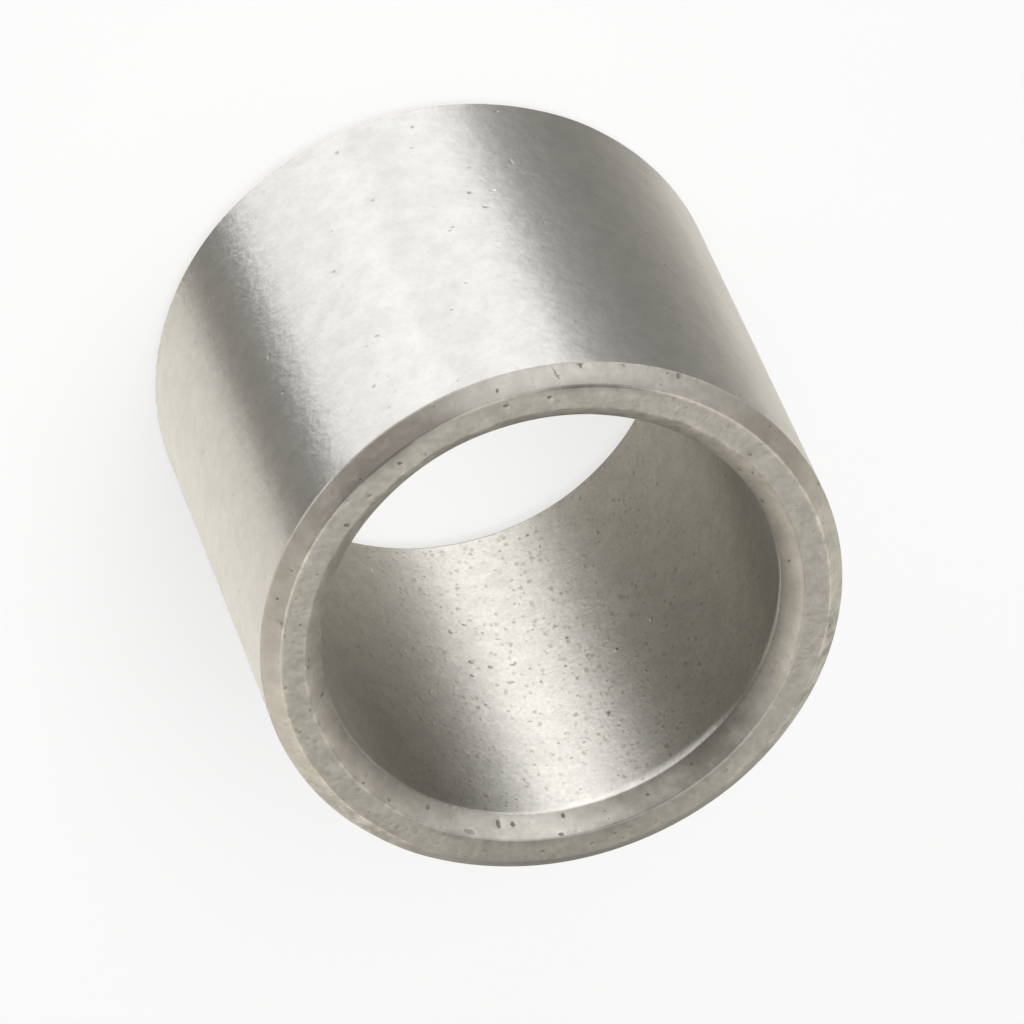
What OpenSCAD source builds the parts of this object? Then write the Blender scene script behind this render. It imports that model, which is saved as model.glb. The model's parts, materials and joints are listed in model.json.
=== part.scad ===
// Plain pivot bushing: one straight sleeve of pressed and sintered metal, with a 45 degree
// chamfer at each rim and a small radius on each corner. A pin turns in its bore, and its
// outside is pressed into a lever or frame.
// The sleeve stands on one end: its axis is +Z, and z = 0 is the bottom end face.

/* [Pivot pin] */
// Diameter of the pin that turns in the bore
pin_d = 22; // [8:0.5:60]
// Running clearance between the pin and the bore, on the diameter
pin_clearance = 0.1; // [0.02:0.01:0.2]

/* [Sleeve] */
// Thickness of the wall between the bore and the outside
wall = 2.95; // [2.5:0.05:8]
// Length from one end face to the other
length = 25.4; // [8:0.1:80]

/* [Rims] */
// Chamfer on both outer rims, which leads the sleeve into its housing
outer_chamfer = 0.8; // [0.4:0.05:1.1]
// Chamfer on both rims of the bore, which leads the pin in
inner_chamfer = 0.95; // [0.4:0.05:1.1]
// Radius that tumbling leaves on each corner of the section
edge_radius = 0.15; // [0.05:0.01:0.25]

/* [Hidden] */
$fn = 180;

bore_r = (pin_d + pin_clearance) / 2;
outer_r = bore_r + wall;

// Sharp corners of the section as [radius, height], anticlockwise from the bore's lower rim
corners = [
    [bore_r, inner_chamfer],
    [bore_r + inner_chamfer, 0],
    [outer_r - outer_chamfer, 0],
    [outer_r, outer_chamfer],
    [outer_r, length - outer_chamfer],
    [outer_r - outer_chamfer, length],
    [bore_r + inner_chamfer, length],
    [bore_r, length - inner_chamfer],
];
last_corner = len(corners) - 1;

// Directions from corner i along the section's edges, to the corner before it and after it
function unit(v) = v / norm(v);
function to_previous(i) = unit(corners[i == 0 ? last_corner : i - 1] - corners[i]);
function to_next(i) = unit(corners[i == last_corner ? 0 : i + 1] - corners[i]);

// Half of the angle inside corner i, and how far from the corner its rounding starts
function half_angle(i) = acos(to_previous(i) * to_next(i)) / 2;
function setback(i) = edge_radius / tan(half_angle(i));

// Centre of the arc that rounds corner i
function arc_centre(i) =
    corners[i] + unit(to_previous(i) + to_next(i)) * edge_radius / sin(half_angle(i));

// The section cut straight between the ends of each arc
cut_section = [
    for (i = [0 : last_corner])
        for (way = [to_previous(i), to_next(i)])
            corners[i] + way * setback(i)
];

// Half of the sleeve's section, with every corner rounded
module section() {
    polygon(cut_section);
    for (i = [0 : last_corner])
        translate(arc_centre(i))
            circle(r = edge_radius);
}

// The sleeve, turned about its axis
module bushing() {
    color([0.64, 0.62, 0.59])
        rotate_extrude()
            section();
}

bushing();
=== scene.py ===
"""A pivot bushing of pressed and sintered metal, standing on its end on a pale floor.

One mesh stands for the sleeve. Its section is the solid's own; on it lie open pores, rims that
wander a little and the marks that the photo shows.
Angles round the sleeve count from the camera's side, at -Y, and grow towards -X.
"""

import json
import math
from dataclasses import dataclass

import bpy
import numpy as np
from mathutils import Matrix, Quaternion, Vector, noise
from mathutils.geometry import delaunay_2d_cdt


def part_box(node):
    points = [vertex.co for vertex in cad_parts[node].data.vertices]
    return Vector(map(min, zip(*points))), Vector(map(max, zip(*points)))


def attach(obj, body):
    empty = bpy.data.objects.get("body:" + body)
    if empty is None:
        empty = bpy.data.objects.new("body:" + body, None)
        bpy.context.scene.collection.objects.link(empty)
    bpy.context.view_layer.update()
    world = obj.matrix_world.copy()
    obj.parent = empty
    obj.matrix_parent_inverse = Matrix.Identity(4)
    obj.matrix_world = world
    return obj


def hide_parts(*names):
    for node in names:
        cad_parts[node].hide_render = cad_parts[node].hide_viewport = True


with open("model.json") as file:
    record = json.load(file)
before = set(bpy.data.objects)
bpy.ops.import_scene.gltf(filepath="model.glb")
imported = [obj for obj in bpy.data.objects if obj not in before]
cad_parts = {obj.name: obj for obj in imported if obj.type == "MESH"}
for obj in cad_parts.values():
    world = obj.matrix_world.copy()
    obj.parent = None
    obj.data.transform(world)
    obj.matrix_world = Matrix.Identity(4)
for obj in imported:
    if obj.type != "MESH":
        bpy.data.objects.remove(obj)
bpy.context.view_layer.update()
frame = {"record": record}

MM = 0.001
FULL_TURN = 2 * math.pi

# Sizes of the sleeve, in mm
node_low, node_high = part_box("bushing")
mounts = {mount["name"]: mount for mount in frame["record"]["mounts"]}
LENGTH = (node_high.z - node_low.z) / MM
OUTER_R = (node_high.x - node_low.x) / 2 / MM
BORE_R = mounts["pin_bore"]["dims"]["r_mm"]
OUTER_CHAMFER = 0.8
INNER_CHAMFER = 0.95
EDGE_RADIUS = 0.15

# Camera
CAMERA_ELEVATION = math.radians(54.7)
CAMERA_ROLL = math.radians(156.5)
CAMERA_DISTANCE = 38.1 * OUTER_R * MM
CAMERA_LENS = 393.8
CAMERA_AIM_RIGHT = 0.060 * OUTER_R * MM
CAMERA_AIM_UP = -0.097 * OUTER_R * MM
CAMERA_CLIP_START = 0.01
CAMERA_CLIP_END = 10

# Grid of the mesh, in mm; the mesh is made flat, unrolled round REFERENCE_R, and then rolled up
COLUMNS = 220
WALL_STEP = 0.5
RIM_STEP = 0.3
SUPPORT_STEP = 0.06
ARC_STEPS = 3
REFERENCE_R = (OUTER_R + BORE_R) / 2
SEAM_ANGLE = math.radians(97)
SEAM_MARGIN = 0.8
MERGE_DISTANCE = 1e-6

# Unevenness of the surface, in mm
SWELL = 0.004
SWELL_WAVE = 5.0
RIM_WANDER = 0.02
RIM_WAVE = 3.0
RIM_REACH = 0.16
RIM_FAINTEST = 0.02

SEED = 7


@dataclass
class Run:
    """A stretch of the section: a straight line, or the arc that rounds a corner."""
    name: str
    start: float
    length: float
    points: object


@dataclass
class Pit:
    """An open pore or a mark: where it lies, its half sizes, its turn, its depth and how dark it is."""
    along: float
    angle: float
    half_long: float
    half_wide: float
    turn: float
    depth: float
    grime: float


def around(angle, radius, height):
    """The point at that angle round the axis."""
    return Vector((-radius * math.sin(angle), -radius * math.cos(angle), height))


# Section

def straight(start, end):
    """A straight stretch, as a function from shares of its length to points and outward directions."""
    way = (end - start) / np.linalg.norm(end - start)
    outward = np.array([way[1], -way[0]])

    def points(share):
        return start + share[:, None] * (end - start), np.tile(outward, (len(share), 1))

    return points


def rounding(centre, start_angle, sweep):
    """The arc of a rounded corner, as a function like that of a straight stretch."""
    def points(share):
        angle = start_angle + share * sweep
        outward = np.stack([np.cos(angle), np.sin(angle)], axis=1)
        return centre + EDGE_RADIUS * outward, outward

    return points


def section_runs():
    """The section's stretches in order, from the bore's lower rim out, up, in and down the bore."""
    corners = [np.array(corner) for corner in (
        (BORE_R, INNER_CHAMFER),
        (BORE_R + INNER_CHAMFER, 0),
        (OUTER_R - OUTER_CHAMFER, 0),
        (OUTER_R, OUTER_CHAMFER),
        (OUTER_R, LENGTH - OUTER_CHAMFER),
        (OUTER_R - OUTER_CHAMFER, LENGTH),
        (BORE_R + INNER_CHAMFER, LENGTH),
        (BORE_R, LENGTH - INNER_CHAMFER),
    )]
    names = ("low_inner_chamfer", "low_land", "low_outer_chamfer", "outside",
             "outer_chamfer", "land", "inner_chamfer", "bore")
    count = len(corners)
    ways = []
    for i in range(count):
        step = corners[(i + 1) % count] - corners[i]
        ways.append(step / np.linalg.norm(step))

    runs = []
    start = 0.0
    for i in range(count):
        way_in = ways[i - 1]
        way_out = ways[i]
        sweep = math.acos(way_in @ way_out)
        setback = EDGE_RADIUS * math.tan(sweep / 2)
        outward = np.array([way_in[1], -way_in[0]])
        centre = corners[i] - setback * way_in - EDGE_RADIUS * outward
        start_angle = math.atan2(outward[1], outward[0])
        arc_length = EDGE_RADIUS * sweep
        runs.append(Run("rim_" + names[i], start, arc_length, rounding(centre, start_angle, sweep)))
        start += arc_length

        next_sweep = math.acos(way_out @ ways[(i + 1) % count])
        next_setback = EDGE_RADIUS * math.tan(next_sweep / 2)
        line_start = corners[i] + setback * way_out
        line_end = corners[(i + 1) % count] - next_setback * way_out
        line_length = np.linalg.norm(line_end - line_start)
        runs.append(Run(names[i], start, line_length, straight(line_start, line_end)))
        start += line_length
    return runs


# Number of the metal on each stretch, in the order in which make_sleeve adds the metals
METAL_OF = {
    "outside": 0,
    "bore": 1,
    "land": 2,
    "low_land": 2,
    "outer_chamfer": 3,
    "low_outer_chamfer": 3,
    "inner_chamfer": 4,
    "low_inner_chamfer": 4,
}
RUNS = section_runs()
RUN = {run.name: run for run in RUNS}
SECTION_LENGTH = RUNS[-1].start + RUNS[-1].length


def is_rim(run):
    return run.name.startswith("rim_")


def section_at(along):
    """Points of the section as radius and height, and outward directions, at distances along it."""
    points = np.zeros((len(along), 2))
    outward = np.zeros((len(along), 2))
    wrapped = along % SECTION_LENGTH
    for run in RUNS:
        here = (wrapped >= run.start) & (wrapped <= run.start + run.length)
        share = (wrapped[here] - run.start) / run.length
        points[here], outward[here] = run.points(share)
    return points, outward


def row_places():
    """Distances along the section at which the grid has its rows."""
    rows = []
    for run in RUNS:
        end = run.start + run.length
        if is_rim(run):
            rows.extend(np.linspace(run.start, end, ARC_STEPS, endpoint=False))
            continue
        if run.name in ("outside", "bore"):
            count = round(LENGTH / WALL_STEP)
        else:
            count = max(2, round(run.length / RIM_STEP))
        rows.append(run.start)
        rows.extend(np.linspace(run.start + SUPPORT_STEP, end - SUPPORT_STEP, count))
    return np.array(rows)


def stretched(along):
    """Distances along the section with close rows drawn apart, so that flat triangles are well shaped."""
    rows = np.append(row_places(), SECTION_LENGTH)
    steps = np.maximum(np.diff(rows), RIM_STEP)
    drawn = np.append(0.0, np.cumsum(steps))
    return np.interp(along, rows, drawn)


# Pores, marks and patches

# Pores by stretch of the section: how many to a square mm, smallest and largest half size in mm,
# depth as a share of the half width, and darkness
PORES = {
    "bore": (0.6, 0.03, 0.085, 0.18, 0.42),
    "outside": (0.12, 0.03, 0.08, 0.25, 0.3),
    "land": (0.30, 0.03, 0.08, 0.5, 0.45),
    "outer_chamfer": (0.30, 0.03, 0.08, 0.5, 0.45),
    "inner_chamfer": (0.40, 0.03, 0.09, 0.5, 0.5),
    "low_land": (0.30, 0.03, 0.08, 0.5, 0.45),
    "low_outer_chamfer": (0.30, 0.03, 0.08, 0.5, 0.45),
    "low_inner_chamfer": (0.40, 0.03, 0.09, 0.5, 0.5),
}
# A high power makes small pores more common than large ones
PORE_SIZE_POWER = 2.2
PORE_LONGEST = 1.9
PORE_DARKEST = 1.1
PORE_PALEST = 0.6

# Marks that the photo shows: stretch, angle in degrees, share of the stretch, half length and half
# width in mm, turn in degrees from the section's way, depth in mm, darkness
MARKS = [
    ("outside", -2.4, 0.06, 0.14, 0.12, 0, 0.03, 0.35),
    ("outside", 18.4, 0.34, 0.13, 0.11, 30, 0.03, 0.35),
    ("outside", 0.3, 0.27, 0.13, 0.11, 20, 0.03, 0.22),
    ("outside", -12.2, 0.43, 0.13, 0.11, 60, 0.03, 0.22),
    ("outside", 13.3, 0.06, 0.12, 0.10, 0, 0.03, 0.25),
    ("outside", -13.8, 0.85, 0.13, 0.11, 0, 0.03, 0.22),
    ("outside", 22.9, 0.34, 0.16, 0.08, 80, 0.02, 0.1),
    ("outside", 20.4, 0.40, 0.20, 0.10, 70, 0.03, 0.25),
    ("outside", 29.2, 0.23, 0.30, 0.07, 10, 0.008, 0.0),
    ("outside", 30.2, 0.275, 0.22, 0.07, 60, 0.008, 0.0),
    ("outside", 32.6, 0.28, 0.36, 0.07, 88, 0.008, 0.0),
    ("outer_chamfer", 19.8, 0.40, 0.34, 0.035, 22, 0.006, 0.5),
    ("outer_chamfer", 44.8, 0.08, 0.16, 0.11, 0, 0.06, 0.7),
    ("outer_chamfer", 24.8, 0.08, 0.12, 0.09, 0, 0.05, 0.6),
    ("outer_chamfer", 7.8, 0.60, 0.10, 0.07, 0, 0.04, 0.5),
    ("land", 17.9, 0.35, 0.13, 0.08, 90, 0.025, 0.6),
    ("land", 8.6, 0.30, 0.16, 0.08, 80, 0.025, 0.5),
    ("land", -16.7, 0.48, 0.14, 0.09, 40, 0.025, 0.6),
    ("land", -34.9, 0.78, 0.14, 0.10, 30, 0.03, 0.6),
    ("inner_chamfer", -147.0, 0.60, 0.22, 0.10, 20, 0.06, 0.65),
    ("inner_chamfer", -150.6, 0.62, 0.15, 0.10, 30, 0.06, 0.65),
    ("inner_chamfer", -83.2, 0.67, 0.14, 0.10, 0, 0.05, 0.6),
    ("inner_chamfer", -128.3, 0.65, 0.15, 0.11, 0, 0.05, 0.6),
    ("inner_chamfer", -161.9, 0.08, 0.14, 0.09, 70, 0.05, 0.6),
    ("inner_chamfer", -165.6, 0.12, 0.15, 0.10, 80, 0.03, 0.0),
    ("inner_chamfer", -139.9, 0.16, 0.30, 0.12, 85, 0.05, 0.4),
    ("inner_chamfer", -163.1, 0.80, 0.12, 0.09, 0, 0.05, 0.6),
    ("bore", 160.8, 0.82, 0.14, 0.12, 0, 0.025, 0.56),
    ("bore", 177.7, 0.95, 0.11, 0.09, 0, 0.03, 0.44),
    ("bore", 157.1, 0.45, 0.14, 0.10, 0, 0.025, 0.48),
    ("bore", 177.0, 0.26, 0.18, 0.12, 0, 0.025, 0.52),
    ("bore", 179.2, 0.29, 0.13, 0.09, 70, 0.01, 0.16),
    ("bore", -156.2, 0.56, 0.17, 0.13, 10, 0.025, 0.48),
    ("bore", -158.4, 0.70, 0.15, 0.10, 60, 0.03, 0.40),
    ("bore", -163.7, 0.47, 0.19, 0.13, 80, 0.03, 0.20),
    ("bore", -160.4, 0.535, 0.15, 0.11, 20, 0.025, 0.44),
    ("bore", -155.1, 0.51, 0.14, 0.10, 0, 0.025, 0.44),
    ("bore", -166.0, 0.53, 0.15, 0.10, 70, 0.03, 0.40),
    ("bore", -167.6, 0.34, 0.08, 0.05, 85, 0.02, 0.40),
    ("bore", -139.3, 0.90, 0.12, 0.09, 0, 0.03, 0.44),
    ("bore", 168.6, 0.44, 0.14, 0.10, 0, 0.025, 0.44),
]

# Patches, each as stretch, angle and reach in degrees, and how much; PATCH_FADE is the distance
# in mm over which a patch fades out beyond its stretch
PATCH_FADE = 0.06
# Painted shade: patches where the ends and chamfers are darkened to stand in for shade, and on the rim
# between outer chamfer and land a painted shadow line
PAINTED_SHADE_PATCHES = [
    ("outer_chamfer", -13, 22, 0.85),
    ("outer_chamfer", -48, 34, 0.50),
    ("outer_chamfer", -77, 24, 0.25),
    ("outer_chamfer", 72, 18, 0.68),
    ("outer_chamfer", 194, 28, 0.68),
    ("inner_chamfer", 160, 26, 1.00),
    ("inner_chamfer", 100, 34, 0.65),
    ("inner_chamfer", 186, 12, 0.35),
    ("inner_chamfer", -100, 34, 0.50),
    ("land", 195, 34, 0.25),
    ("rim_land", 26, 15, 0.95),
    ("rim_land", -18, 14, 0.80),
    ("rim_inner_chamfer", -150, 40, 0.40),
]
# Pale patches: painted light on the chamfers, and along the rims rubbed wear with painted highlight
WORN_AND_LIT_PATCHES = [
    ("outer_chamfer", 128, 24, 1.0),
    ("outer_chamfer", 243, 14, 0.9),
    ("inner_chamfer", -5, 45, 0.5),
    ("rim_land", -48, 18, 0.5),
    ("rim_land", -90, 26, 0.3),
    ("rim_land", 92, 18, 0.6),
    ("rim_land", 143, 14, 0.4),
    ("rim_inner_chamfer", 56, 26, 0.6),
    ("rim_inner_chamfer", -8, 30, 0.5),
    ("rim_inner_chamfer", -100, 36, 0.7),
    ("rim_bore", -70, 30, 0.4),
]
# Where sizing has closed the bore's pores
CLOSED = [
    ("bore", 100, 50, 0.8),
    ("bore", 270, 45, 0.8),
    ("bore", 0, 60, 0.4),
]

# Rings of a pit from its brim inwards: share of its half size, share of its depth, share of its
# darkness; small pits need fewer
SMALL_RINGS = ((1.45, 0.0, 0.0), (1.05, 0.04, 0.45), (0.6, 0.75, 1.0))
LARGE_RINGS = ((1.30, 0.0, 0.0), (1.04, 0.04, 0.45), (0.74, 0.55, 0.9), (0.4, 0.92, 1.0))
SMALL_SIDES = 7
LARGE_SIDES = 11
SIDES_PER_MM = 16
LARGE_PIT = 0.085
PIT_RAGGED = 0.30
# Room round a pit: to the next pit and to the grid's points, as shares of its half size, and
# a margin in mm that is added for the grid
PIT_CLEARANCE = 1.45
GRID_CLEARANCE = 1.25
GRID_MARGIN = 0.05


def marks():
    pits = []
    for name, degrees, share, half_long, half_wide, turn, depth, grime in MARKS:
        run = RUN[name]
        along = run.start + share * run.length
        angle = math.radians(degrees)
        pits.append(Pit(along, angle, half_long, half_wide, math.radians(turn), depth, grime))
    return pits


def within_half_turn(angle):
    """Angles brought to between minus and plus half a turn."""
    return (angle + math.pi) % FULL_TURN - math.pi


def from_seam(angle):
    """Angles counted from the seam at which the unrolled surface is cut, from 0 to a full turn."""
    return (angle - SEAM_ANGLE) % FULL_TURN


def patches(listed, along, turned):
    """How much of the listed patches lies on each point; a patch fades out just beyond its stretch."""
    total = np.zeros(len(along))
    for name, degrees, reach, amount in listed:
        run = RUN[name]
        beyond = np.abs(along - run.start - run.length / 2) - run.length / 2
        here = np.exp(-(np.maximum(beyond, 0) / PATCH_FADE) ** 2)
        off = within_half_turn(turned + SEAM_ANGLE - math.radians(degrees))
        total += here * amount * np.exp(-(off / math.radians(reach)) ** 2)
    return total


def is_closed(along, angle, random):
    """Whether sizing has closed a pore at that place."""
    share = patches(CLOSED, np.array([along]), from_seam(np.array([angle])))[0]
    return random.random() < share


def near_seam(along, angle):
    """Whether a place lies at the edges along which the unrolled surface is welded."""
    sideways = abs(within_half_turn(angle - SEAM_ANGLE)) * REFERENCE_R
    return min(along, SECTION_LENGTH - along, sideways) < SEAM_MARGIN


def far_from(pits, along, angle, reach):
    """Whether a new pit at that place of the unrolled surface stays clear of the pits so far."""
    known = np.array([(pit.along, pit.angle, pit.half_long) for pit in pits])
    sideways = within_half_turn(known[:, 1] - angle)
    distance = np.hypot(known[:, 0] - along, sideways * REFERENCE_R)
    return np.all(distance > PIT_CLEARANCE * (known[:, 2] + reach))


def add_pores(pits, random):
    """Pores strewn over every stretch of the section, more small ones than large."""
    for name, (density, smallest, largest, depth, grime) in PORES.items():
        run = RUN[name]
        points, _ = section_at(np.array([run.start + run.length / 2]))
        area = FULL_TURN * points[0, 0] * run.length
        for _ in range(round(area * density)):
            half_wide = smallest + (largest - smallest) * random.random() ** PORE_SIZE_POWER
            half_long = half_wide * random.uniform(1.0, PORE_LONGEST)
            along = run.start + run.length * random.random()
            angle = random.uniform(-math.pi, math.pi)
            if near_seam(along, angle) or is_closed(along, angle, random):
                continue
            if far_from(pits, along, angle, half_long):
                turn = random.uniform(0, math.pi)
                dark = grime * random.uniform(PORE_PALEST, PORE_DARKEST)
                pits.append(Pit(along, angle, half_long, half_wide, turn, depth * half_wide, dark))


def pit_points(pit, random):
    """A pit's vertices as rows of distance along the section, angle, drop and grime."""
    rings = SMALL_RINGS
    sides = SMALL_SIDES
    if pit.half_long > LARGE_PIT:
        rings = LARGE_RINGS
        sides = LARGE_SIDES + round(SIDES_PER_MM * (pit.half_long - pit.half_wide))
    radius = section_at(np.array([pit.along]))[0][0, 0]
    spin = random.random() * FULL_TURN
    bearing = spin + FULL_TURN * np.arange(sides) / sides
    ragged = 1 + PIT_RAGGED * pit.half_wide / pit.half_long * random.uniform(-1, 1, sides)
    rows = [(pit.along, pit.angle, pit.depth, pit.grime)]
    for share, drop, dark in rings:
        lengthwise = share * ragged * pit.half_long * np.cos(bearing)
        crosswise = share * ragged * pit.half_wide * np.sin(bearing)
        d_along = lengthwise * math.cos(pit.turn) - crosswise * math.sin(pit.turn)
        d_round = lengthwise * math.sin(pit.turn) + crosswise * math.cos(pit.turn)
        for a, b in zip(d_along, d_round):
            rows.append((pit.along + a, pit.angle + b / radius, drop * pit.depth, dark * pit.grime))
    return rows


# Mesh of the sleeve

def grid_points():
    """The plain grid: distance along the section, turn from the seam, and the vertex each stands for."""
    rows = row_places()
    along = []
    turned = []
    stands_for = []
    for j in range(len(rows) + 1):
        shift = 0.5 * (j % 2)
        place = rows[j] if j < len(rows) else SECTION_LENGTH
        for column in range(COLUMNS + 1 - j % 2):
            along.append(place)
            turned.append(FULL_TURN * (column + shift) / COLUMNS)
            stands_for.append((j % len(rows), column % COLUMNS))
    return np.array(along), np.array(turned), stands_for


def clear_of_pits(along, turned, pits):
    """Which grid points lie outside every pit's brim."""
    keep = np.ones(len(along), bool)
    for pit in pits:
        near = np.abs(along - pit.along) < 2 * pit.half_long
        d_along = along[near] - pit.along
        d_round = (turned[near] - from_seam(pit.angle)) * REFERENCE_R
        lengthwise = d_along * math.cos(pit.turn) + d_round * math.sin(pit.turn)
        crosswise = d_round * math.cos(pit.turn) - d_along * math.sin(pit.turn)
        share_long = lengthwise / (pit.half_long + GRID_MARGIN)
        share_wide = crosswise / (pit.half_wide + GRID_MARGIN)
        inside = np.hypot(share_long, share_wide) < GRID_CLEARANCE
        keep[np.flatnonzero(near)[inside]] = False
    return keep


def rim_weight(along):
    """1 on a rounded rim, falling to 0 a short way from it."""
    middles = np.array([run.start + run.length / 2 for run in RUNS if is_rim(run)])
    distance = np.abs(along[:, None] - middles[None, :])
    distance = np.minimum(distance, SECTION_LENGTH - distance).min(axis=1)
    return np.exp(-(distance / RIM_REACH) ** 2)


def unevenness(points, weight):
    """How far each vertex stands off the true section: a faint swell, and rims that wander."""
    offset = np.zeros(len(points))
    for i, point in enumerate(points):
        place = Vector(point)
        offset[i] = SWELL * noise.noise(place / SWELL_WAVE)
        if weight[i] > RIM_FAINTEST:
            offset[i] += RIM_WANDER * weight[i] * noise.noise(place / RIM_WAVE)
    return offset


def roll_up(along, turned, drop):
    """Positions in metres of points of the unrolled surface, and how much each belongs to a rim."""
    section, outward = section_at(along)
    angle = turned + SEAM_ANGLE
    sine = np.sin(angle)
    cosine = np.cos(angle)

    def positions(radius, height):
        return np.stack([-radius * sine, -radius * cosine, height], axis=1)

    level = positions(section[:, 0], section[:, 1])
    weight = rim_weight(along)
    offset = unevenness(level, weight) - drop
    moved = section + offset[:, None] * outward
    return positions(moved[:, 0], moved[:, 1]) * MM, weight


def unrolled_surface():
    """All points of the unrolled surface, the flat triangles between them, and what to weld."""
    random = np.random.RandomState(SEED)
    pits = marks()
    add_pores(pits, random)
    along, turned, stands_for = grid_points()
    keep = clear_of_pits(along, turned, pits)
    along = along[keep]
    turned = turned[keep]
    stands_for = [stands_for[i] for i in np.flatnonzero(keep)]
    welded = {}
    weld = np.array([welded.setdefault(key, i) for i, key in enumerate(stands_for)])

    extra = np.array([row for pit in pits for row in pit_points(pit, random)])
    count = len(along)
    along = np.concatenate([along, extra[:, 0]])
    turned = np.concatenate([turned, from_seam(extra[:, 1])])
    drop = np.concatenate([np.zeros(count), extra[:, 2]])
    grime = np.concatenate([np.zeros(count), extra[:, 3]])
    weld = np.concatenate([weld, np.arange(count, len(along))])

    flat = [Vector(pair) for pair in zip(stretched(along), turned * REFERENCE_R)]
    _, _, triangles, origins, _, _ = delaunay_2d_cdt(flat, [], [], 0, MERGE_DISTANCE, True)
    source = np.array([origin[0] for origin in origins])
    triangles = source[np.array(triangles)]
    return along, turned, drop, grime, weld, triangles


def material_indices(along, triangles):
    """Which metal each triangle has; a rim has that of the stretch that follows it."""
    middle = along[triangles].mean(axis=1)
    index = np.zeros(len(triangles), int)
    for run in RUNS:
        here = (middle > run.start) & (middle < run.start + run.length)
        index[here] = METAL_OF[run.name.removeprefix("rim_")]
    return index


def add_attribute(mesh, name, values):
    attribute = mesh.attributes.new(name, "FLOAT", "POINT")
    attribute.data.foreach_set("value", values.astype(np.float32))


def add_bake_map(mesh, along, turned, triangles):
    """The unrolled surface itself serves as the map for baked textures."""
    layer = mesh.uv_layers.new(name="OFBake")
    corners = triangles.ravel()
    across = turned[corners] / FULL_TURN
    up = along[corners] / SECTION_LENGTH
    layer.data.foreach_set("uv", np.stack([across, up], axis=1).ravel().astype(np.float32))


def make_sleeve():
    along, turned, drop, grime, weld, triangles = unrolled_surface()
    positions, rim = roll_up(along, turned, drop)
    used = np.unique(weld)
    number = np.zeros(len(weld), int)
    number[used] = np.arange(len(used))
    faces = number[weld[triangles]]

    mesh = bpy.data.meshes.new("bushing_sleeve")
    mesh.from_pydata(positions[used].tolist(), [], faces.tolist())
    mesh.polygons.foreach_set("use_smooth", np.ones(len(faces), bool))
    mesh.polygons.foreach_set("material_index", material_indices(along, triangles).astype(np.int32))
    add_attribute(mesh, "grime", grime[used])
    add_attribute(mesh, "rim", rim[used])
    # Painted shade: dark patches on the ends and chamfers, and a painted shadow line along a rim
    add_attribute(mesh, "tarnish", patches(PAINTED_SHADE_PATCHES, along, turned)[used])
    # Pale patches: rubbing along the rims with painted highlight, and painted light on the chamfers
    add_attribute(mesh, "wear", patches(WORN_AND_LIT_PATCHES, along, turned)[used])
    add_attribute(mesh, "closed", patches(CLOSED, along, turned)[used])
    add_bake_map(mesh, along, turned, triangles)
    # Metals by stretch: the bore's is paler, as painted light, and the outside's and the chamfers' are
    # darker, as painted shade
    mesh.materials.append(outside_metal())
    mesh.materials.append(bore_metal())
    mesh.materials.append(end_metal("pressed_ends", END_METAL, END_ROUGHNESS))
    mesh.materials.append(end_metal("pressed_outer_chamfers", OUTER_CHAMFER_PAINTED_SHADE_METAL, CHAMFER_ROUGHNESS))
    mesh.materials.append(end_metal("pressed_inner_chamfers", INNER_CHAMFER_PAINTED_SHADE_METAL, CHAMFER_ROUGHNESS))
    mesh.update()

    sleeve = bpy.data.objects.new("bushing_sleeve", mesh)
    bpy.context.scene.collection.objects.link(sleeve)
    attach(sleeve, "root")
    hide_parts("bushing")


# Materials

# The sleeve is one iron. Its stretches have copies of one colour at different brightness that stand in
# for light and shade: the bore's is paler, as painted light, and the outside's and the chamfers' are
# darker than the ends', as painted shade.
METAL = (0.395, 0.381, 0.340)
BORE_PAINTED_LIGHT_METAL = (0.66, 0.630, 0.548)
END_METAL = (0.53, 0.492, 0.392)
OUTER_CHAMFER_PAINTED_SHADE_METAL = (0.36, 0.338, 0.285)
INNER_CHAMFER_PAINTED_SHADE_METAL = (0.47, 0.443, 0.370)
PORE_DARK = (0.17, 0.138, 0.112, 1.0)
# Colour of the painted shade patches
PAINTED_SHADE_COLOUR = (0.131, 0.117, 0.092, 1.0)
MOTTLE_DARK = (0.93, 0.93, 0.925, 1.0)
MOTTLE_PALE = (1.07, 1.07, 1.065, 1.0)
MOTTLE_WAVE = 1.1
# How much paler the metal is under rubbing and painted light
WORN_AND_LIT_PALER = 1.6

# Parts of a noise's range over which a pattern goes from one end to the other
GRAIN_RANGE = (0.25, 0.75)
CLOUD_RANGE = (0.3, 0.7)
SPECK_RANGE = (0.40, 0.60)
WORN_AND_LIT_RANGE = (0.42, 0.58)
PAINTED_SHADE_RANGE = (0.25, 0.75)
# How strong the pale patches of rubbing and painted light, and the patches of painted shade, are at
# either end of those parts
WORN_AND_LIT_STRENGTH = (0.1, 1.0)
PAINTED_SHADE_STRENGTH = (1.1, 0.8)

# Roughness, from the smoothest to the roughest grain, in pores and on rims; a pore is fully rough
# from PORE_GRIME on
OUTSIDE_ROUGHNESS = (0.45, 0.51)
BORE_ROUGHNESS = (0.50, 0.56)
END_ROUGHNESS = (0.48, 0.56)
CHAMFER_ROUGHNESS = (0.58, 0.66)
PORE_ROUGHNESS = 0.85
PORE_GRIME = 0.2
RIM_ROUGHNESS = 0.75

# Specks: colour as a share of the metal's, largest radius in mm, how far and how finely their
# outlines wobble in mm, and a factor on heights, below 1 so that they are drawn out along the axis
SPECK_TINT = (0.62, 0.545, 0.48)
SPECK_RADIUS = 0.16
SPECK_WOBBLE = 0.30
SPECK_WOBBLE_WAVE = 0.13
SPECK_SQUEEZE = 0.65
# Random numbers of the cells in which a speck grows from nothing to the largest
SPECK_SIZES = (0.3, 0.9)
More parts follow.
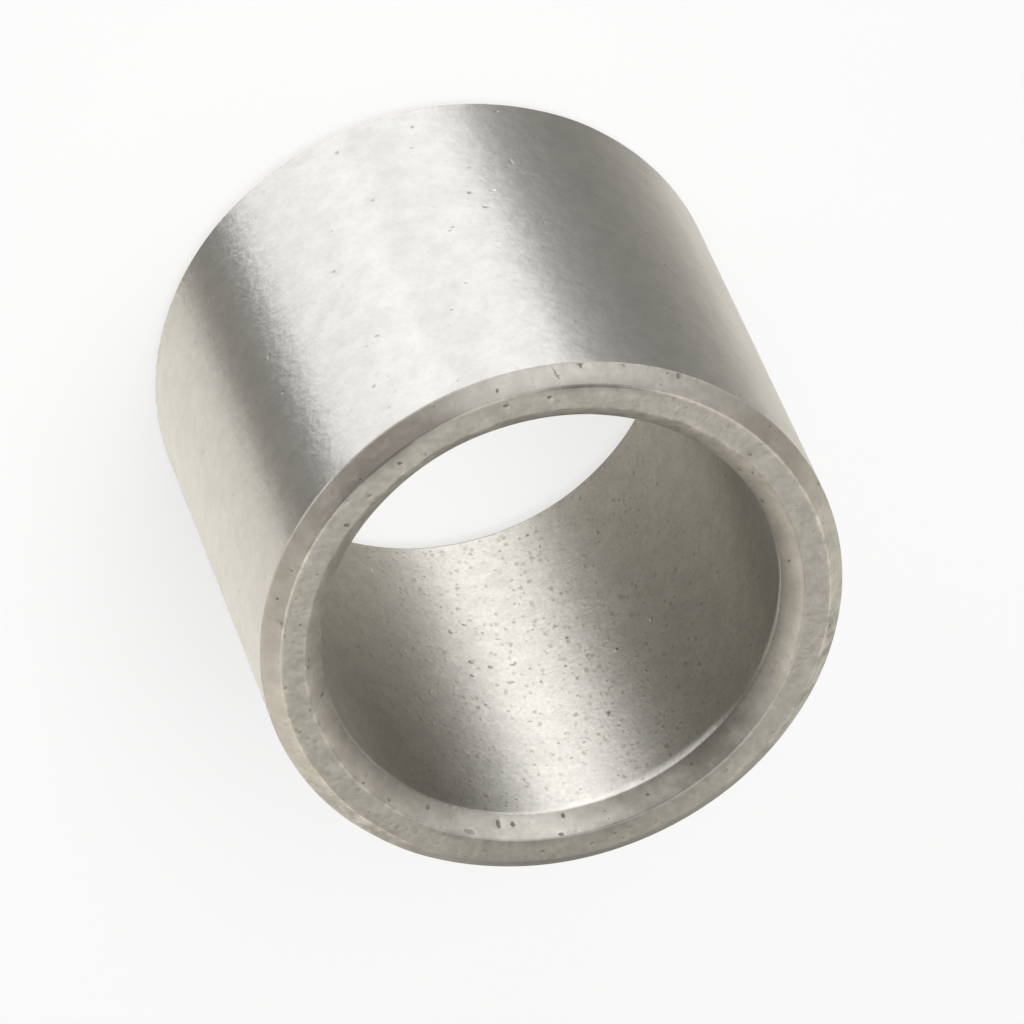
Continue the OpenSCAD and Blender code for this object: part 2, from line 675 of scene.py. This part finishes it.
# Share of the largest radius over which a speck's edge fades
SPECK_EDGE = 0.5
# Share of the full strength that specks have where they lie thinnest
SPECK_THINNEST = 0.45

# Waves and heights of the bumps in mm, the heights from the lowest to the highest point of a pattern
OUTSIDE_BUMP_WAVE = 0.55
OUTSIDE_BUMP = 0.022
BORE_BUMP_WAVE = 0.36
BORE_BUMP = 0.014
END_BUMP_WAVE = 0.40
END_BUMP = 0.010
# Heights of the grinding lines and depths of the specks, as shares of those bumps
GRINDING_LINES = 0.06
BORE_SPECK_DEPTH = 0.3
END_SPECK_DEPTH = 0.4
# Factors on the coordinates that draw a pattern out round the sleeve into lines
GRINDING_SQUEEZE = (0.35, 0.35, 5.0)


class Nodes:
    """Short ways to add and link the nodes of one material."""

    def __init__(self, name):
        self.material = bpy.data.materials.new(name)
        self.material.use_nodes = True
        self.tree = self.material.node_tree
        self.shader = self.tree.nodes["Principled BSDF"]

    def node(self, kind, inputs=None, **settings):
        made = self.tree.nodes.new("ShaderNode" + kind)
        for key, value in settings.items():
            setattr(made, key, value)
        for key, value in (inputs or {}).items():
            self.feed(made.inputs[key], value)
        return made

    def feed(self, socket, value):
        if isinstance(value, bpy.types.NodeSocket):
            self.tree.links.new(value, socket)
        else:
            socket.default_value = value

    def place(self, x=1.0, y=1.0, z=1.0):
        """Object coordinates in mm, each times a factor."""
        coordinates = self.node("TexCoord").outputs["Object"]
        factors = (x / MM, y / MM, z / MM)
        return self.node("VectorMath", {0: coordinates, 1: factors}, operation="MULTIPLY").outputs[0]

    def noise(self, place, wave, detail, roughness):
        inputs = {"Vector": place, "Scale": 1 / wave, "Detail": detail, "Roughness": roughness}
        return self.node("TexNoise", inputs).outputs["Fac"]

    def math(self, operation, first, second):
        return self.node("Math", {0: first, 1: second}, operation=operation).outputs[0]

    def spread(self, value, low, high, to_low=0.0, to_high=1.0):
        """A value moved from one range to another, clamped."""
        inputs = {"Value": value, "From Min": low, "From Max": high, "To Min": to_low, "To Max": to_high}
        return self.node("MapRange", inputs).outputs["Result"]

    def blend(self, share, first, second, blend_type="MIX"):
        """Two colours mixed; a Mix node takes colours at its inputs 6 and 7 and gives one at output 2."""
        mix = self.node("Mix", data_type="RGBA", blend_type=blend_type)
        self.feed(mix.inputs[0], share)
        self.feed(mix.inputs[6], first)
        self.feed(mix.inputs[7], second)
        return mix.outputs[2]

    def attribute(self, name):
        return self.node("Attribute", attribute_name=name).outputs["Fac"]

    def bump(self, height, distance):
        """Bumps of that height pattern, distance mm from its lowest to its highest point."""
        inputs = {"Height": height, "Distance": distance * MM, "Strength": 1.0}
        self.feed(self.shader.inputs["Normal"], self.node("Bump", inputs).outputs["Normal"])


def shade(colour, factor):
    return tuple(channel * factor for channel in colour) + (1.0,)


def specks(nodes, cell):
    """Specks of many sizes, ragged: wobbly balls strewn through space, where the surface cuts them."""
    place = nodes.place(1, 1, SPECK_SQUEEZE)
    wobble = nodes.node("TexNoise", {"Vector": place, "Scale": 1 / SPECK_WOBBLE_WAVE}).outputs["Color"]
    factors = (SPECK_WOBBLE, SPECK_WOBBLE, SPECK_WOBBLE)
    shifted = nodes.node("VectorMath", {0: wobble, 1: factors, 2: place}, operation="MULTIPLY_ADD")
    cells = nodes.node("TexVoronoi", {"Vector": shifted.outputs[0], "Scale": 1 / cell})
    radius = SPECK_RADIUS / cell
    reach = nodes.spread(cells.outputs["Color"], *SPECK_SIZES, 0.0, radius)
    inside = nodes.math("SUBTRACT", reach, cells.outputs["Distance"])
    spots = nodes.spread(inside, 0.0, SPECK_EDGE * radius)
    still_open = nodes.math("SUBTRACT", 1.0, nodes.attribute("closed"))
    return nodes.math("MULTIPLY", spots, still_open)


def plain_metal(nodes, colour, grain, mottle, grain_depth):
    """The metal's colour with its grain and faint clouds."""
    dark = shade(colour, 1 - grain_depth)
    pale = shade(colour, 1 + grain_depth)
    grained = nodes.blend(nodes.spread(grain, *GRAIN_RANGE), dark, pale)
    cloud = nodes.blend(nodes.spread(mottle, *CLOUD_RANGE), MOTTLE_DARK, MOTTLE_PALE)
    return nodes.blend(1.0, grained, cloud, "MULTIPLY")


def metal_look(nodes, colour, roughness, grain_wave, grain_depth, speck_cell, speck_share):
    """Colour and roughness that all the metals have; returns the specks, for their depth."""
    place = nodes.place()
    grain = nodes.noise(place, grain_wave, detail=4.0, roughness=0.6)
    mottle = nodes.noise(place, MOTTLE_WAVE, detail=4.0, roughness=0.65)
    spots = specks(nodes, speck_cell)
    grime = nodes.attribute("grime")

    clouded = plain_metal(nodes, colour, grain, mottle, grain_depth)
    speck_colour = tuple(a * b for a, b in zip(colour, SPECK_TINT)) + (1.0,)
    thick = nodes.spread(mottle, *SPECK_RANGE, SPECK_THINNEST * speck_share, speck_share)
    specked = nodes.blend(nodes.math("MULTIPLY", spots, thick), clouded, speck_colour)
    # Pale patches of rubbing with painted highlight along the rims, and painted light on the chamfers,
    # broken up by the clouds
    broken = nodes.spread(mottle, *WORN_AND_LIT_RANGE, *WORN_AND_LIT_STRENGTH)
    rubbing_and_light_share = nodes.math("MULTIPLY", nodes.attribute("wear"), broken)
    with_rubbing_and_light = nodes.blend(rubbing_and_light_share, specked, shade(colour, WORN_AND_LIT_PALER))
    # Patches of painted shade, broken up by the clouds
    uneven = nodes.spread(mottle, *PAINTED_SHADE_RANGE, *PAINTED_SHADE_STRENGTH)
    painted_shade_share = nodes.math("MULTIPLY", nodes.attribute("tarnish"), uneven)
    with_painted_shade = nodes.blend(painted_shade_share, with_rubbing_and_light, PAINTED_SHADE_COLOUR)
    nodes.feed(nodes.shader.inputs["Base Color"], nodes.blend(grime, with_painted_shade, PORE_DARK))
    nodes.shader.inputs["Metallic"].default_value = 1.0

    plain = nodes.spread(grain, *GRAIN_RANGE, *roughness)
    in_pores = nodes.spread(grime, 0.0, PORE_GRIME, 0.0, PORE_ROUGHNESS)
    on_rims = nodes.math("MULTIPLY", nodes.attribute("rim"), RIM_ROUGHNESS)
    dull = nodes.math("MAXIMUM", in_pores, on_rims)
    nodes.feed(nodes.shader.inputs["Roughness"], nodes.math("MAXIMUM", plain, dull))
    return spots


def draw_round(nodes):
    """Fine marks that run round the sleeve, so that lights are drawn out along it."""
    nodes.shader.inputs["Anisotropic"].default_value = 1.0
    nodes.shader.inputs["Anisotropic Rotation"].default_value = 0.25
    tangent = nodes.node("Tangent", direction_type="RADIAL", axis="Z")
    nodes.feed(nodes.shader.inputs["Tangent"], tangent.outputs["Tangent"])


def outside_metal():
    """The outside, sized and ground round."""
    nodes = Nodes("sized_outside")
    metal_look(nodes, METAL, OUTSIDE_ROUGHNESS, grain_wave=0.24, grain_depth=0.05,
               speck_cell=0.45, speck_share=0.25)
    draw_round(nodes)
    lines = nodes.noise(nodes.place(*GRINDING_SQUEEZE), 1.0, detail=2.0, roughness=0.5)
    cloth = nodes.noise(nodes.place(), OUTSIDE_BUMP_WAVE, detail=3.0, roughness=0.6)
    nodes.bump(nodes.math("ADD", nodes.math("MULTIPLY", lines, GRINDING_LINES), cloth), OUTSIDE_BUMP)
    return nodes.material


def bore_metal():
    """The bore, sized but left with open pores."""
    nodes = Nodes("sized_bore")
    spots = metal_look(nodes, BORE_PAINTED_LIGHT_METAL, BORE_ROUGHNESS, grain_wave=0.20, grain_depth=0.11,
                       speck_cell=0.28, speck_share=0.85)
    draw_round(nodes)
    cloth = nodes.noise(nodes.place(), BORE_BUMP_WAVE, detail=3.0, roughness=0.55)
    nodes.bump(nodes.math("SUBTRACT", cloth, nodes.math("MULTIPLY", spots, BORE_SPECK_DEPTH)), BORE_BUMP)
    return nodes.material


def end_metal(name, colour, roughness):
    """The ends and chamfers, as pressed: duller and grainier."""
    nodes = Nodes(name)
    spots = metal_look(nodes, colour, roughness, grain_wave=0.32, grain_depth=0.13,
                       speck_cell=0.36, speck_share=0.38)
    cloth = nodes.noise(nodes.place(), END_BUMP_WAVE, detail=3.0, roughness=0.6)
    nodes.bump(nodes.math("SUBTRACT", cloth, nodes.math("MULTIPLY", spots, END_SPECK_DEPTH)), END_BUMP)
    return nodes.material


# Floor, lights and camera

FLOOR_SIZE = 3.0
FLOOR_COLOUR = (0.71, 0.69, 0.622, 1.0)
# How white the floor is to the camera and in reflections; the rest shows its own shade and shadow
FLOOR_WHITE = 0.72
LAMP_DISTANCE = 1.0
# Blender's power of an area lamp, to each square metre and unit of radiance
LAMP_POWER = 4
FRONT_LIGHT = (0.95, 0.98, 1.09)
SIDE_LIGHT = (1.0, 0.98, 0.98)
# Strip lamps stand so low that their light ends at the bore's upper edge
STRIP_ELEVATION = 2.9
STRIP_HEIGHT = 0.06
WORLD_COLOUR = (0.09, 0.09, 0.09, 1.0)


def make_floor():
    half = FLOOR_SIZE / 2
    corners = [(-half, -half, 0), (half, -half, 0), (half, half, 0), (-half, half, 0)]
    mesh = bpy.data.meshes.new("floor")
    mesh.from_pydata(corners, [], [(0, 1, 2, 3)])
    nodes = Nodes("floor")
    nodes.shader.inputs["Base Color"].default_value = FLOOR_COLOUR
    nodes.shader.inputs["Roughness"].default_value = 1.0
    nodes.shader.inputs["Specular IOR Level"].default_value = 0.0
    light_path = nodes.node("LightPath")
    seen = nodes.math("ADD", light_path.outputs["Is Camera Ray"], light_path.outputs["Is Glossy Ray"])
    seen = nodes.math("ADD", seen, light_path.outputs["Is Transmission Ray"])
    white = nodes.node("Emission", {"Strength": 1.0})
    mixed = nodes.node("MixShader", {"Fac": nodes.math("MULTIPLY", seen, FLOOR_WHITE)})
    nodes.feed(mixed.inputs[1], nodes.shader.outputs[0])
    nodes.feed(mixed.inputs[2], white.outputs[0])
    nodes.feed(nodes.tree.nodes["Material Output"].inputs["Surface"], mixed.outputs[0])
    nodes.material.cycles.emission_sampling = "NONE"
    mesh.materials.append(nodes.material)
    floor = bpy.data.objects.new("floor", mesh)
    bpy.context.scene.collection.objects.link(floor)


def softbox(name, angle, elevation, width, height, radiance, colour=FRONT_LIGHT, spin=0.0):
    """A soft rectangular lamp that faces the sleeve, at an angle round it and above it, in degrees."""
    data = bpy.data.lights.new(name, "AREA")
    data.shape = "RECTANGLE"
    data.size = width
    data.size_y = height
    data.energy = LAMP_POWER * radiance * width * height
    data.color = colour
    lamp = bpy.data.objects.new(name, data)
    rise = math.radians(elevation)
    way = around(math.radians(angle), math.cos(rise), math.sin(rise))
    lamp.location = Vector((0, 0, LENGTH * MM / 2)) + LAMP_DISTANCE * way
    lamp.rotation_mode = "QUATERNION"
    turn = Quaternion((0, 0, 1), math.radians(spin))
    lamp.rotation_quaternion = way.to_track_quat("Z", "Y") @ turn
    lamp.visible_camera = False
    bpy.context.scene.collection.objects.link(lamp)


def strip_lamp(name, angle, width, radiance, colour):
    """A long low lamp that lights the outside and the ends."""
    softbox(name, angle, STRIP_ELEVATION, width, STRIP_HEIGHT, radiance, colour)


def make_lights():
    strip_lamp("low_left", angle=-22, width=0.75, radiance=62.0, colour=FRONT_LIGHT)
    strip_lamp("low_right", angle=17, width=0.74, radiance=32.4, colour=FRONT_LIGHT)
    softbox("mid_right", angle=22, elevation=34, width=0.40, height=0.40, radiance=1.4)
    softbox("high_right", angle=27, elevation=65, width=0.52, height=0.60, radiance=6.8, spin=20)
    softbox("zenith", angle=90, elevation=82.5, width=0.48, height=0.35, radiance=3.6)
    softbox("back", angle=180, elevation=58, width=1.40, height=0.30, radiance=0.50)
    strip_lamp("side_left", angle=-98, width=1.17, radiance=36.4, colour=SIDE_LIGHT)
    strip_lamp("side_right_dim", angle=84, width=0.21, radiance=5.0, colour=SIDE_LIGHT)
    strip_lamp("side_right_mid", angle=95.5, width=0.193, radiance=12.5, colour=SIDE_LIGHT)
    strip_lamp("side_right", angle=114.5, width=0.48, radiance=26.0, colour=SIDE_LIGHT)
    world = bpy.data.worlds.new("world")
    world.use_nodes = True
    world.node_tree.nodes["Background"].inputs["Color"].default_value = WORLD_COLOUR
    bpy.context.scene.world = world


def make_camera():
    middle = Vector((0, 0, LENGTH * MM / 2))
    back = around(0, math.cos(CAMERA_ELEVATION), math.sin(CAMERA_ELEVATION))
    level_right = Vector((1, 0, 0))
    level_up = back.cross(level_right)
    right = math.cos(CAMERA_ROLL) * level_right + math.sin(CAMERA_ROLL) * level_up
    up = back.cross(right)
    aim = middle + CAMERA_AIM_RIGHT * right + CAMERA_AIM_UP * up
    data = bpy.data.cameras.new("camera")
    data.lens = CAMERA_LENS
    data.clip_start = CAMERA_CLIP_START
    data.clip_end = CAMERA_CLIP_END
    camera = bpy.data.objects.new("camera", data)
    turn = Matrix((right, up, back)).transposed().to_4x4()
    camera.matrix_world = Matrix.Translation(aim + CAMERA_DISTANCE * back) @ turn
    bpy.context.scene.collection.objects.link(camera)
    bpy.context.scene.camera = camera


make_floor()
make_sleeve()
make_lights()
make_camera()
bpy.context.scene.view_settings.view_transform = "Standard"
